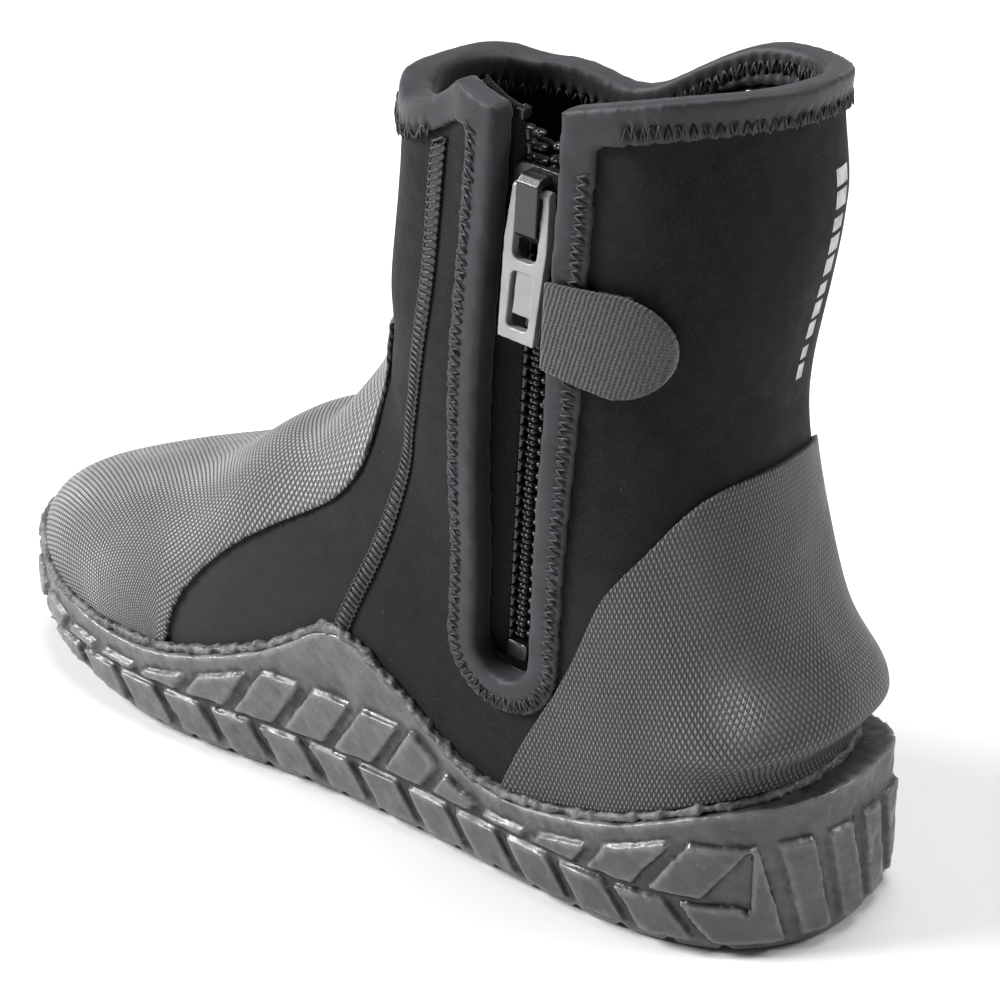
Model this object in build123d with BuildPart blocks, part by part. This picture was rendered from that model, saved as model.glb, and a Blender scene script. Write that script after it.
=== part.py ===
from build123d import *
import math
import os

os.makedirs("parts", exist_ok=True)

# Right neoprene dive boot, EU 42 to 43. Row frame: X runs from heel to toe, +Y is the inner (zip) side,
# +Z is up, and the origin is under the middle of the boot, on the ground.

# ---- driving dimensions, mm ----
LENGTH = 295.0            # outsole, heel to toe
HEEL_X = -LENGTH / 2      # everything along the foot is measured forward from the back of the heel
SIDE = 5.2                # shift across the foot that centres the boot on Y = 0
WALL = 5.0                # neoprene panel
CAP = 1.6                 # rubber toe and heel caps over the panels
LUG = 1.8                 # height of the lugs on the sole's wall
FLOOR = 12.0              # outsole thickness under the foot
SOCK_BOTTOM = 3.0         # neoprene under the foot
BOARD = 2.0               # insole board
FOOTBED = 5.0             # drop-in footbed
TOE_JOIN = 214.0          # where the front panel joins the toe panel, under the toe cap
LEDGE = 5.5               # fin-strap ledge at the back of the heel
SEAM = 0.7                # seam covers over the front seams
SEAM_HALF = 2.4
BIND_OUT = 1.4            # binding stands this far proud of the panel
BIND_IN = 1.2             # and this far behind it
BIND_WIDTH = 9.0          # visible width of the binding
COLLAR_BACK = 226.0       # collar height at the back of the heel
COLLAR_SLOPE = 9.0        # degrees the collar falls toward the front
COLLAR_TILT = 2.0         # degrees it falls toward the outer side
SLOT_HALF = 9.5           # half of the zip opening
ZIP_RUN = 149.5           # from the collar down to the centre of the opening's round end
CHAIN_HALF = 4.3          # half of the closed chain
TAPE_DEPTH = 8.5          # zip tape's middle, below the panel's surface
TOOTH_PITCH = 3.4
SPLIT = 2.1               # each half of the chain moves this far out at the slider's post
SLIDER_AT = -26.0         # slider's centre along the zip, below the collar
PULL_LENGTH = 38.0
PULL_TILT = 5.0           # the puller hangs this many degrees off the zip
TAB_LOW, TAB_HIGH = -62.5, -39.5      # the tab's edges along the zip, below the collar
TAB_GAP = 2.4             # the tab lies this far off the panel
TAB_THICK = 1.8
TAB_FOLD = 3.0            # the fold's height in the zip frame
PULL_AXIS = (4.5, 5.2)    # puller's crossbar: along the zip from the slider's centre, and above the tape

PIVOT = (190.0, 165.0)    # the ankle stations fan out around this point in front of the shin

# Stations from the collar to the toe. "level" gives a height, "fan" an angle below the horizontal around
# PIVOT, and "upright" a distance from the heel. Then: inner and outer reach, inner-side and outer-side half
# widths, sideways middle, and how square the instep side and the heel or ground side are.
STATIONS = [
    ("level", 238, 141, 17.5, 44.6, 42.3, 1, 2.2, 2.2),
    ("level", 214, 140.6, 19.5, 43.5, 41.6, 0.5, 2.2, 2.2),
    ("level", 190, 140, 22.0, 42.5, 41.0, 0, 2.2, 2.2),
    ("fan", 0, 48.0, 164, 41.5, 40.5, 0, 2.2, 2.3),
    ("fan", 12, 47.5, 165, 40.2, 39.5, -2, 2.2, 2.4),
    ("fan", 25, 49.0, 190, 39.0, 38.5, -4, 2.2, 2.5),
    ("fan", 36, 51.0, 225, 37.2, 38.8, -6, 2.3, 2.4),
    ("fan", 44, 53.5, 248, 36.0, 39.0, -6, 2.4, 2.4),
    ("fan", 52, 56.0, 246, 35.2, 39.8, -5, 2.5, 2.5),
    ("fan", 61, 59.5, 234, 34.6, 41.6, -3, 2.5, 2.6),
    ("fan", 70, 64.0, 217, 34.2, 44.0, -3, 2.5, 2.6),
    ("fan", 90, 71.0, 198, 35.8, 47.5, -4, 2.5, 2.6),
    ("upright", 205, 83, -31, 37.0, 49.5, -4, 2.5, 2.6),
    ("upright", 222, 74, -28, 37.4, 48.5, -3, 2.5, 2.6),
    ("upright", 250, 64, -20, 35.5, 42.0, -1, 2.5, 2.6),
    ("upright", 272, 55, -8, 27.5, 30.5, 1, 2.4, 2.6),
    ("upright", 284, 47, 4, 18.0, 18.5, 1, 2.3, 2.5),
    ("upright", 290, 40, 16, 10.5, 9.5, 1, 2.2, 2.4),
]
SHAFT = STATIONS[:10]      # the part around the zip, for layers too deep to reach the toe

# Sole outline seen from above: distance from the heel, and across (positive on the inner side)
OUTLINE = [
    (0.4, -12), (3, 10), (15, 27.5), (38, 38), (75, 40), (115, 38.2), (150, 38.2), (185, 41.5), (215, 43.5),
    (245, 41), (268, 34), (286, 21), (295, 4), (290, -16), (268, -38), (240, -51), (205, -56), (165, -53.5),
    (125, -49), (85, -45.5), (45, -44.5), (18, -38.5), (3.2, -27),
]
# Top edge of the sole, from heel to toe, and the toe spring under it
SOLE_TOP = [
    (-6, 46), (8, 45), (27, 41), (50, 32), (70, 27), (87, 25), (101, 28), (117, 38), (133, 48), (148, 53),
    (165, 44), (188, 33), (214, 26), (245, 26), (275, 32), (301, 40),
]
TOE_SPRING = [(205, 0), (240, 4), (270, 11), (303, 20)]
# Front seam, toe cap edge and heel cap edge, seen from the side
FRONT_SEAM = [
    (109, 240), (109, 188), (110, 162), (115, 138), (125, 108), (133, 84), (143, 62), (156, 30), (160, 0),
]
TOE_CAP_EDGE = [
    (139, 142), (142, 118), (144, 103), (152, 91), (166, 81), (183, 70), (201, 53), (209, 40), (212, 27), (212, 5),
]
HEEL_CAP_EDGE = [(5, 133), (22, 130), (33, 126), (44, 112), (54, 98), (65, 73), (78, 49), (89, 26), (96, 5)]


def at(s, y, z):
    """Point from distance along the foot, across it and up."""
    return (HEEL_X + s, SIDE + y, z)


def station_plane(kind, pos, gap):
    """Local x runs from the instep out to the heel or ground, local y to the inner side."""
    angle = {"level": 0.0, "fan": pos, "upright": 90.0}[kind]
    a = math.radians(angle)
    s = pos + gap * max(0.0, (pos - 250) / 40) if kind == "upright" else PIVOT[0]
    z = pos if kind == "level" else PIVOT[1]
    outward = (-math.cos(a), 0, -math.sin(a))
    return Plane(origin=at(s, 0, z), x_dir=outward, z_dir=(math.sin(a), 0, -math.cos(a)))


def station_points(station, gap, count=20):
    kind, _, near, far, inner, outer, middle, square_in, square_out = station
    if kind == "level":
        near, far = PIVOT[0] - near, PIVOT[0] - far
    if kind == "upright":
        near, far = PIVOT[1] - near, PIVOT[1] - far
    centre, half = (near + far) / 2, (far - near) / 2 + gap
    points = []
    for i in range(count):
        u, v = math.cos(2 * math.pi * i / count), math.sin(2 * math.pi * i / count)
        power = 2 / (square_out if u > 0 else square_in)
        side = inner - middle + gap if v > 0 else outer + middle + gap
        points.append((centre + half * math.copysign(abs(u) ** power, u),
                       middle + side * math.copysign(abs(v) ** power, v)))
    return points


def skin(gap, stations=STATIONS):
    """Solid inside the boot's surface, grown outward by gap."""
    with BuildPart() as body:
        for station in stations:
            with BuildSketch(station_plane(station[0], station[1], gap)):
                with BuildLine():
                    Spline(*station_points(station, gap), periodic=True)
                make_face()
        loft()
    return body.part


def side_region(curve, corners, y_from=-100.0, y_to=100.0):
    """Prism across the boot: a smooth edge seen from the side, closed through the corners."""
    with BuildPart() as region:
        with BuildSketch(Plane.XZ.offset(-y_to)):
            with BuildLine():
                edge = Spline(*[(HEEL_X + s, z) for s, z in curve])
                Polyline(edge @ 1, *[(HEEL_X + s, z) for s, z in corners], edge @ 0)
            make_face()
        extrude(amount=y_to - y_from)
    return region.part


def lifted(curve, dz):
    return [(s, z + dz) for s, z in curve]


def above_ground(dz):
    """Everything above the sole's underside surface (flat, then the toe spring) raised by dz."""
    with BuildPart() as region:
        with BuildSketch(Plane.XZ.offset(-100)):
            with BuildLine():
                flat = Line((HEEL_X - 20, dz), (HEEL_X + 205, dz))
                rise = [(HEEL_X + s, z + dz) for s, z in TOE_SPRING]
                spring = Spline(*rise, tangents=[(1, 0), (1, 0.3)])
                Polyline(spring @ 1, (HEEL_X + 320, 260), (HEEL_X - 20, 260), flat @ 0)
            make_face()
        extrude(amount=200)
    return region.part


def above_floor(dz):
    """Everything above the level that lies dz over the outsole's inside floor."""
    return above_ground(FLOOR + dz)


def below_collar(drop):
    """Everything below the sloping collar plane lowered by drop."""
    cut = Plane(origin=at(15, 0, COLLAR_BACK - drop)).rotated((COLLAR_TILT, COLLAR_SLOPE, 0))
    with BuildPart() as region:
        with BuildSketch(cut):
            Rectangle(600, 400)
        extrude(amount=-320)
    return region.part


# Zip frame: origin on the panel at the collar, x toward the heel, y up along the zip, z outward
ZIP_TOP = Vector(*at(75.0, 43.6, 219.0))
ZIP_LOW = Vector(*at(87.5, 36.4, 70.0))
ZIP_UP = (ZIP_TOP - ZIP_LOW).normalized()
ZIP_OUT = ZIP_UP.cross(Vector(1, 0, 0)).normalized()
ZIP = Plane(origin=ZIP_TOP, x_dir=ZIP_UP.cross(ZIP_OUT), z_dir=ZIP_OUT)
TAPE = ZIP.offset(-TAPE_DEPTH)
SLIDER = Plane(origin=TAPE.from_local_coords((0, SLIDER_AT, 0)), x_dir=TAPE.x_dir, z_dir=TAPE.z_dir)


def zip_slot(half, depth_in=30.0, depth_out=20.0):
    """Prism of the opening: straight sides, round lower end, open at the collar."""
    with BuildPart() as slot:
        with BuildSketch(ZIP.offset(-depth_in)):
            with Locations((0, -ZIP_RUN)):
                Circle(half)
            with Locations((0, -ZIP_RUN / 2 + 20)):
                Rectangle(2 * half, ZIP_RUN + 40)
        extrude(amount=depth_in + depth_out)
    return slot.part


def side_bars(bars, width, slant, z_low, z_high):
    """Slanted bars seen from the side, extruded across the boot, each given by its place and direction."""
    with BuildPart() as region:
        with BuildSketch(Plane.XZ.offset(-100)):
            for s, way in bars:
                x = HEEL_X + s
                lean = way * slant
                with BuildLine():
                    Polyline((x - lean, z_low), (x - lean + width, z_low), (x + lean + width, z_high),
                             (x + lean, z_high), (x - lean, z_low))
                make_face()
        extrude(amount=200)
    return region.part


def end_bars(places, width, slant, z_low, z_high):
    """Slanted bars round the heel and the toe, extruded along the foot at both ends."""
    with BuildPart() as region:
        with BuildSketch(Plane.YZ):
            for y in places:
                y += SIDE - 4
                with BuildLine():
                    Polyline((y - slant, z_low), (y - slant + width, z_low), (y + slant + width, z_high),
                             (y + slant, z_high), (y - slant, z_low))
                make_face()
        extrude(amount=LENGTH, both=True)
        with Locations((0, 0, 50)):
            Box(2 * (LENGTH / 2 - 14), 300, 200, mode=Mode.SUBTRACT)
    return region.part


def outline_prism(inset, height=75.0):
    """Upright prism of the sole's outline, each of its points moved inward square to its neighbours' line."""
    points = []
    for i, (s, y) in enumerate(OUTLINE):
        (s0, y0), (s1, y1) = OUTLINE[i - 1], OUTLINE[(i + 1) % len(OUTLINE)]
        run = math.hypot(s1 - s0, y1 - y0)
        points.append(at(s + inset * (y1 - y0) / run, y - inset * (s1 - s0) / run, 0)[:2])
    with BuildPart() as region:
        with BuildSketch():
            with BuildLine():
                Spline(*points, periodic=True)
            make_face()
        extrude(amount=height)
    return region.part


def side_half(inner):
    """Half space on the inner or the outer side of the back seam."""
    with BuildPart() as region:
        with Locations((0, SIDE - 2 + (200 if inner else -200), 100)):
            Box(800, 400, 400)
    return region.part


# ---- shared volumes ----
OUTER = skin(0)
INNER = skin(-WALL)
CAP_SKIN = skin(CAP)
BIND_SKIN_OUT = skin(BIND_OUT)
BIND_SKIN_IN = skin(-WALL - BIND_IN)
FRONT = side_region(FRONT_SEAM, [(330, 0), (330, 240)])
BELOW_RIM = side_region(SOLE_TOP, [(301, -40), (-6, -40)])
FOOT = OUTER & above_floor(0)
ABOVE_BEAD = side_region(lifted(SOLE_TOP, 2.2), [(301, 200), (-6, 200)])

# ---- sole ----
with BuildPart() as rough_sole:
    add(outline_prism(LUG))
    add(above_ground(0), mode=Mode.INTERSECT)
    fillet(rough_sole.edges().filter_by(lambda e: e.bounding_box().max.Z < 24), radius=4)
    add(BELOW_RIM, mode=Mode.INTERSECT)
    # raised lugs round the wall: a low row leaning one way, an upper row leaning back
    with BuildPart(mode=Mode.PRIVATE) as lugs:
        add(side_bars([(s, 1) for s in range(12, 285, 18)], 14.0, 4.0, 4.5, 15))
        add(side_bars([(s + 8, -1) for s in range(12, 275, 18)], 13.5, 5.0, 17.5, 33))
        add(end_bars([-26, -13, 0, 13, 26], 8.5, 3.5, 5, 34))
        add(outline_prism(0), mode=Mode.INTERSECT)
        add(above_ground(4), mode=Mode.INTERSECT)
        add(side_region(lifted(SOLE_TOP, -6), [(301, -40), (-6, -40)]), mode=Mode.INTERSECT)
    add(lugs.part)
    # chevron grooves under the foot
    with BuildPart(mode=Mode.PRIVATE) as grooves:
        with BuildSketch():
            for s in range(12, 290, 14):
                x = HEEL_X + s
                with BuildLine():
                    Polyline((x, -70), (x + 3, -70), (x + 15, SIDE - 3), (x + 3, 70), (x, 70),
                             (x + 12, SIDE - 3), (x, -70))
                make_face()
        extrude(amount=40)
        add(above_ground(2.5), mode=Mode.SUBTRACT)
    add(grooves.part, mode=Mode.SUBTRACT)
    add(FOOT, mode=Mode.SUBTRACT)

# the sole without the loose slivers that the foot leaves of some lugs
with BuildPart() as outsole:
    add(rough_sole.solids().sort_by(SortBy.VOLUME)[-1])
outsole.part.label = "outsole"
export_step(outsole.part, "parts/outsole.step")

with BuildPart() as rim_bead:
    add(skin(CAP + 1.0))
    add(OUTER, mode=Mode.SUBTRACT)
    add(side_region(lifted(SOLE_TOP, 2.2), [(301, -40), (-6, -40)]), mode=Mode.INTERSECT)
    add(BELOW_RIM, mode=Mode.SUBTRACT)
rim_bead.part.label = "rim_bead"
export_step(rim_bead.part, "parts/rim_bead.step")

# ---- inside, under the foot ----
with BuildPart() as sock_bottom:
    add(FOOT)
    add(above_floor(SOCK_BOTTOM), mode=Mode.SUBTRACT)
sock_bottom.part.label = "sock_bottom"
export_step(sock_bottom.part, "parts/sock_bottom.step")

with BuildPart() as insole_board:
    add(INNER)
    add(above_floor(SOCK_BOTTOM), mode=Mode.INTERSECT)
    add(above_floor(SOCK_BOTTOM + BOARD), mode=Mode.SUBTRACT)
insole_board.part.label = "insole_board"
export_step(insole_board.part, "parts/insole_board.step")

with BuildPart() as footbed:
    add(skin(-WALL - 0.5))
    add(above_floor(SOCK_BOTTOM + BOARD), mode=Mode.INTERSECT)
    add(above_floor(SOCK_BOTTOM + BOARD + FOOTBED), mode=Mode.SUBTRACT)
footbed.part.label = "footbed"
export_step(footbed.part, "parts/footbed.step")

# ---- neoprene panels: one wall, parted at the front seams and the back seam ----
with BuildPart() as wall:
    add(OUTER)
    add(INNER, mode=Mode.SUBTRACT)
    add(above_floor(SOCK_BOTTOM), mode=Mode.INTERSECT)
    add(below_collar(BIND_IN), mode=Mode.INTERSECT)

with BuildPart() as toe_side:
    with Locations((HEEL_X + TOE_JOIN + 100, 0, 50)):
        Box(200, 200, 200)

with BuildPart() as front_panel:
    add(wall.part)
    add(FRONT, mode=Mode.INTERSECT)
    add(toe_side.part, mode=Mode.SUBTRACT)
front_panel.part.label = "front_panel"
export_step(front_panel.part, "parts/front_panel.step")

with BuildPart() as toe_panel:
    add(wall.part)
    add(toe_side.part, mode=Mode.INTERSECT)
toe_panel.part.label = "toe_panel"
export_step(toe_panel.part, "parts/toe_panel.step")

with BuildPart() as medial_quarter:
    add(wall.part)
    add(FRONT, mode=Mode.SUBTRACT)
    add(side_half(True), mode=Mode.INTERSECT)
    add(zip_slot(SLOT_HALF + BIND_IN), mode=Mode.SUBTRACT)
medial_quarter.part.label = "medial_quarter"
export_step(medial_quarter.part, "parts/medial_quarter.step")

with BuildPart() as lateral_quarter:
    add(wall.part)
    add(FRONT, mode=Mode.SUBTRACT)
    add(side_half(False), mode=Mode.INTERSECT)
lateral_quarter.part.label = "lateral_quarter"
export_step(lateral_quarter.part, "parts/lateral_quarter.step")

# ---- rubber caps over the panels ----
with BuildPart() as toe_cap:
    add(CAP_SKIN)
    add(OUTER, mode=Mode.SUBTRACT)
    add(side_region(TOE_CAP_EDGE, [(330, 5), (330, 142)]), mode=Mode.INTERSECT)
    add(ABOVE_BEAD, mode=Mode.INTERSECT)
toe_cap.part.label = "toe_cap"
export_step(toe_cap.part, "parts/toe_cap.step")

with BuildPart() as heel_cap:
    add(CAP_SKIN)
    add(OUTER, mode=Mode.SUBTRACT)
    add(side_region(HEEL_CAP_EDGE, [(-20, 5), (-20, 133)]), mode=Mode.INTERSECT)
    add(ABOVE_BEAD, mode=Mode.INTERSECT)
heel_cap.part.label = "heel_cap"
export_step(heel_cap.part, "parts/heel_cap.step")

# Fin-strap ledge: the cap's own surface pushed back, so that it fades out round the sides
with BuildPart() as heel_ledge:
    add(CAP_SKIN.moved(Location((-LEDGE, 0, 0))))
    add(side_region([(-20, 54), (4, 51), (30, 48), (52, 45)], [(28, 62), (12, 84), (-20, 61)]),
        mode=Mode.INTERSECT)
    add(CAP_SKIN, mode=Mode.SUBTRACT)
heel_ledge.part.label = "heel_ledge"
export_step(heel_ledge.part, "parts/heel_ledge.step")

# ---- seam covers and bindings ----
with BuildPart() as seam_cover:
    add(skin(SEAM))
    add(side_region([(s - SEAM_HALF, z) for s, z in FRONT_SEAM], [(330, 0), (330, 240)]), mode=Mode.INTERSECT)
    add(side_region([(s + SEAM_HALF, z) for s, z in FRONT_SEAM], [(330, 0), (330, 240)]), mode=Mode.SUBTRACT)
    add(OUTER, mode=Mode.SUBTRACT)
    add(ABOVE_BEAD, mode=Mode.INTERSECT)
    add(below_collar(BIND_WIDTH), mode=Mode.INTERSECT)

with BuildPart() as seam_cover_medial:
    add(seam_cover.part)
    add(side_half(True), mode=Mode.INTERSECT)
seam_cover_medial.part.label = "seam_cover_medial"
export_step(seam_cover_medial.part, "parts/seam_cover_medial.step")

with BuildPart() as seam_cover_lateral:
    add(seam_cover.part)
    add(side_half(False), mode=Mode.INTERSECT)
seam_cover_lateral.part.label = "seam_cover_lateral"
export_step(seam_cover_lateral.part, "parts/seam_cover_lateral.step")

with BuildPart() as collar_binding:
    add(BIND_SKIN_OUT)
    add(below_collar(0), mode=Mode.INTERSECT)
    add(below_collar(BIND_WIDTH), mode=Mode.SUBTRACT)
    add(BIND_SKIN_IN, mode=Mode.SUBTRACT)
    add(zip_slot(SLOT_HALF + BIND_WIDTH), mode=Mode.SUBTRACT)
    add(wall.part, mode=Mode.SUBTRACT)
collar_binding.part.label = "collar_binding"
export_step(collar_binding.part, "parts/collar_binding.step")

with BuildPart() as zip_binding:
    add(zip_slot(SLOT_HALF + BIND_WIDTH))
    add(zip_slot(SLOT_HALF), mode=Mode.SUBTRACT)
    add(BIND_SKIN_OUT, mode=Mode.INTERSECT)
    add(BIND_SKIN_IN, mode=Mode.SUBTRACT)
    add(below_collar(0), mode=Mode.INTERSECT)
    add(medial_quarter.part, mode=Mode.SUBTRACT)
zip_binding.part.label = "zip_binding"
export_step(zip_binding.part, "parts/zip_binding.step")

# ---- zip: tapes, two rows of teeth, stops and the gusset behind ----


def chain_spread(y):
    """How far each half of the chain stands from its closed place: it parts inside the slider."""
    return SPLIT * min(max((y - SLIDER_AT + 5) / 8, 0), 1) + 2.2 * min(max((y - SLIDER_AT - 11) / 12, 0), 1)


CHAIN_STATIONS = [-158, SLIDER_AT - 5, SLIDER_AT + 3, SLIDER_AT + 11, -5]


def zip_tape(way):
    with BuildPart() as tape:
        with BuildSketch(TAPE):
            with BuildLine():
                inner = [(way * (CHAIN_HALF + chain_spread(y)), y) for y in CHAIN_STATIONS]
                Polyline(*inner, (way * 20, -5), (way * 20, -158), inner[0])
            make_face()
        extrude(amount=0.5, both=True)
        add(BIND_SKIN_IN, mode=Mode.INTERSECT)
    return tape.part


def zip_teeth(way, start):
    with BuildPart() as teeth:
        with BuildSketch(TAPE):
            with BuildLine():
                inner = [(way * (CHAIN_HALF - 1.0 + chain_spread(y)), y) for y in CHAIN_STATIONS[:-1] + [-8]]
                outer = [(way * (CHAIN_HALF + chain_spread(y)), y) for y in CHAIN_STATIONS[:-1] + [-8]]
                Polyline(*inner, *outer[::-1], inner[0])
            make_face()
        extrude(amount=0.9, both=True)
        count = int((-9 - start) / TOOTH_PITCH) + 1
        places = [start + TOOTH_PITCH * i for i in range(count)]
        with Locations(*[TAPE * Pos(way * (1.5 + chain_spread(y)), y, 0) for y in places]):
            Box(4.4, 1.25, 3.4)
    return teeth.part


with BuildPart() as zip_tape_front:
    add(zip_tape(-1))
zip_tape_front.part.label = "zip_tape_front"
export_step(zip_tape_front.part, "parts/zip_tape_front.step")

with BuildPart() as zip_tape_rear:
    add(zip_tape(1))
zip_tape_rear.part.label = "zip_tape_rear"
export_step(zip_tape_rear.part, "parts/zip_tape_rear.step")

with BuildPart() as zip_teeth_front:
    add(zip_teeth(-1, -149.0))
zip_teeth_front.part.label = "zip_teeth_front"
export_step(zip_teeth_front.part, "parts/zip_teeth_front.step")

with BuildPart() as zip_teeth_rear:
    add(zip_teeth(1, -149.0 + TOOTH_PITCH / 2))
zip_teeth_rear.part.label = "zip_teeth_rear"
export_step(zip_teeth_rear.part, "parts/zip_teeth_rear.step")

with BuildPart() as zip_bottom_stop:
    with Locations(TAPE * Pos(0, -153.5, 0)):
        Box(2 * CHAIN_HALF - 2.0, 5.0, 4.4)
zip_bottom_stop.part.label = "zip_bottom_stop"
export_step(zip_bottom_stop.part, "parts/zip_bottom_stop.step")

with BuildPart() as zip_top_stops:
    for way in (-1, 1):
        with Locations(TAPE * Pos(way * (CHAIN_HALF - 0.1 + chain_spread(-6)), -6.4, 0)):
            Box(2.0, 2.6, 3.6)
    add(zip_tape_front.part, mode=Mode.SUBTRACT)
    add(zip_tape_rear.part, mode=Mode.SUBTRACT)
zip_top_stops.part.label = "zip_top_stops"
export_step(zip_top_stops.part, "parts/zip_top_stops.step")

with BuildPart() as zip_gusset:
    with BuildSketch(TAPE.offset(-4.6)):
        with BuildLine():
            Polyline((-34, -14), (34, -14), (34, -120), (20, -163), (-20, -163), (-34, -120), (-34, -14))
        make_face()
    extrude(amount=-1.5)
    add(INNER, mode=Mode.INTERSECT)
zip_gusset.part.label = "zip_gusset"
export_step(zip_gusset.part, "parts/zip_gusset.step")

# ---- slider and puller ----
with BuildPart() as slider_body:
    with BuildSketch(SLIDER) as plan:
        with BuildLine():
            Polyline((-5.9, -10), (5.9, -10), (5.9, -4), (7.7, 3), (7.7, 8), (5.5, 10), (-5.5, 10), (-7.7, 8),
                     (-7.7, 3), (-5.9, -4), (-5.9, -10))
        make_face()
        fillet(plan.vertices(), radius=1.0)
    extrude(amount=3.4, both=True)
    # the tunnel between the plates, and the slits for the tapes
    with BuildSketch(SLIDER) as tunnel:
        with BuildLine():
            Polyline((-4.7, -12), (4.7, -12), (4.7, -4.5), (6.6, 2.7), (6.6, 12), (-6.6, 12), (-6.6, 2.7),
                     (-4.7, -4.5), (-4.7, -12))
        make_face()
    extrude(amount=2.0, both=True, mode=Mode.SUBTRACT)
    with BuildSketch(SLIDER):
        Rectangle(30, 30)
    extrude(amount=0.8, both=True, mode=Mode.SUBTRACT)
    # the post that parts the rows
    with BuildSketch(SLIDER):
        with Locations((0, 6.6)):
            RectangleRounded(2.0, 4.6, 0.9)
    extrude(amount=2.4, both=True)
slider_body.part.label = "slider_body"
export_step(slider_body.part, "parts/slider_body.step")

# side view of the slider: x along the zip, y outward
CROWN_SIDE = Plane(origin=SLIDER.origin, x_dir=SLIDER.y_dir, z_dir=SLIDER.x_dir)
with BuildPart() as slider_crown:
    with BuildSketch(CROWN_SIDE):
        with BuildLine():
            Polyline((-8.6, 3.4), (8.8, 3.4), (8.8, 6.6), (7.2, 8.3), (-5.6, 8.3), (-8.6, 5.4), (-8.6, 3.4))
        make_face()
        with BuildLine():
            Polyline((-4.6, 3.4), (6.4, 3.4), (6.4, 6.9), (-3.6, 6.9), (-4.6, 3.4))
        make_face(mode=Mode.SUBTRACT)
    extrude(amount=3.2, both=True)
slider_crown.part.label = "slider_crown"
export_step(slider_crown.part, "parts/slider_crown.step")

tilt = math.radians(PULL_TILT)
PULL = Plane(
    origin=SLIDER.from_local_coords((0, PULL_AXIS[0], PULL_AXIS[1])),
    x_dir=SLIDER.x_dir,
    z_dir=SLIDER.z_dir * math.cos(tilt) + SLIDER.y_dir * math.sin(tilt),
)
with BuildPart() as zip_pull:
    with BuildSketch(PULL) as plate:
        with BuildLine():
            Polyline((-5.5, 0), (5.5, 0), (6.4, -13), (5.4, -PULL_LENGTH), (-5.4, -PULL_LENGTH),
                     (-6.4, -13), (-5.5, 0))
        make_face()
        fillet(plate.vertices().sort_by(Axis((0, 0, 0), PULL.y_dir))[:2], radius=1.6)
    extrude(amount=1.4, both=True)
    # upper window round the crown, lower window with a thinner plate left in it
    with BuildSketch(PULL):
        with Locations((0, -7)):
            RectangleRounded(7.4, 21, 2.4)
        with Locations((0, -27.6)):
            RectangleRounded(6.6, 14.6, 1.6)
    extrude(amount=3, both=True, mode=Mode.SUBTRACT)
    with BuildSketch(PULL):
        with Locations((0.4, -25.6)):
            Rectangle(5.2, 11.6)
    extrude(amount=0.7, both=True)
    with Locations(Plane(origin=PULL.origin, x_dir=PULL.y_dir, z_dir=PULL.x_dir)):
        Cylinder(radius=1.1, height=9)
        for x in (-4.6, 4.6):
            with Locations((0, 0, x)):
                Cylinder(radius=1.4, height=1.8)
zip_pull.part.label = "zip_pull"
export_step(zip_pull.part, "parts/zip_pull.step")

# ---- closure tab: felt strap that folds about its stitched edge beside the zip ----
TAB_MID = (TAB_LOW + TAB_HIGH) / 2


def on_zip_face(points, tip=None):
    """Prism through the panel, drawn in the zip frame, with an optional round tip (centre x, centre y, radius)."""
    with BuildPart() as region:
        with BuildSketch(ZIP.offset(-20)):
            with BuildLine():
                Polyline(*points, points[0])
            make_face()
            if tip:
                with Locations((tip[0], tip[1])):
                    Circle(tip[2])
        extrude(amount=32)
    return region.part


TAB_SKIN = skin(TAB_GAP, SHAFT)
with BuildPart() as tab_root:
    add(on_zip_face([(SLOT_HALF, TAB_LOW + 1), (SLOT_HALF, TAB_HIGH - 1), (17, TAB_HIGH - 1),
                     (17, TAB_LOW + 1)]))
    add(skin(TAB_GAP - 0.4, SHAFT), mode=Mode.INTERSECT)
    add(BIND_SKIN_OUT, mode=Mode.SUBTRACT)
tab_root.part.label = "tab_root"
export_step(tab_root.part, "parts/tab_root.step")

TAB_AXIS = ZIP.from_local_coords((SLOT_HALF + 0.5, TAB_MID, TAB_FOLD))
with BuildPart() as closure_tab:
    add(on_zip_face([(SLOT_HALF + 0.5, TAB_LOW), (SLOT_HALF + 0.5, TAB_HIGH), (28, TAB_HIGH + 1),
                     (28, TAB_LOW - 3.2)], tip=(27.5, TAB_MID - 1.2, 13.3)))
    add(skin(TAB_GAP + TAB_THICK, SHAFT), mode=Mode.INTERSECT)
    add(TAB_SKIN, mode=Mode.SUBTRACT)
    with Locations(Plane(origin=TAB_AXIS, x_dir=ZIP.x_dir, z_dir=ZIP.y_dir)):
        Cylinder(radius=TAB_THICK / 2, height=TAB_HIGH - TAB_LOW)
closure_tab.part.label = "closure_tab"
export_step(closure_tab.part, "parts/closure_tab.step")

with BuildPart() as hook_patch:
    add(on_zip_face([(22, TAB_LOW + 1), (22, TAB_HIGH + 0.5), (30, TAB_HIGH + 0.5), (30, TAB_LOW + 1)],
                    tip=(30, TAB_MID - 1, 10)))
    add(TAB_SKIN, mode=Mode.INTERSECT)
    add(skin(TAB_GAP - 1.2, SHAFT), mode=Mode.SUBTRACT)
hook_patch.part.label = "hook_patch"
export_step(hook_patch.part, "parts/hook_patch.step")

# ---- label sewn inside the collar ----
with BuildPart() as size_label:
    add(INNER)
    add(side_region([(48, 195), (57, 195), (66, 195)], [(66, 206.5), (48, 206.5)]), mode=Mode.INTERSECT)
    add(side_half(False), mode=Mode.INTERSECT)
    add(skin(-WALL - 0.6, SHAFT), mode=Mode.SUBTRACT)
size_label.part.label = "size_label"
export_step(size_label.part, "parts/size_label.step")
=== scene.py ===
import math

import bmesh
import bpy
import numpy as np
from mathutils import Matrix, Vector
from mathutils.bvhtree import BVHTree
from mathutils.kdtree import KDTree

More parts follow.
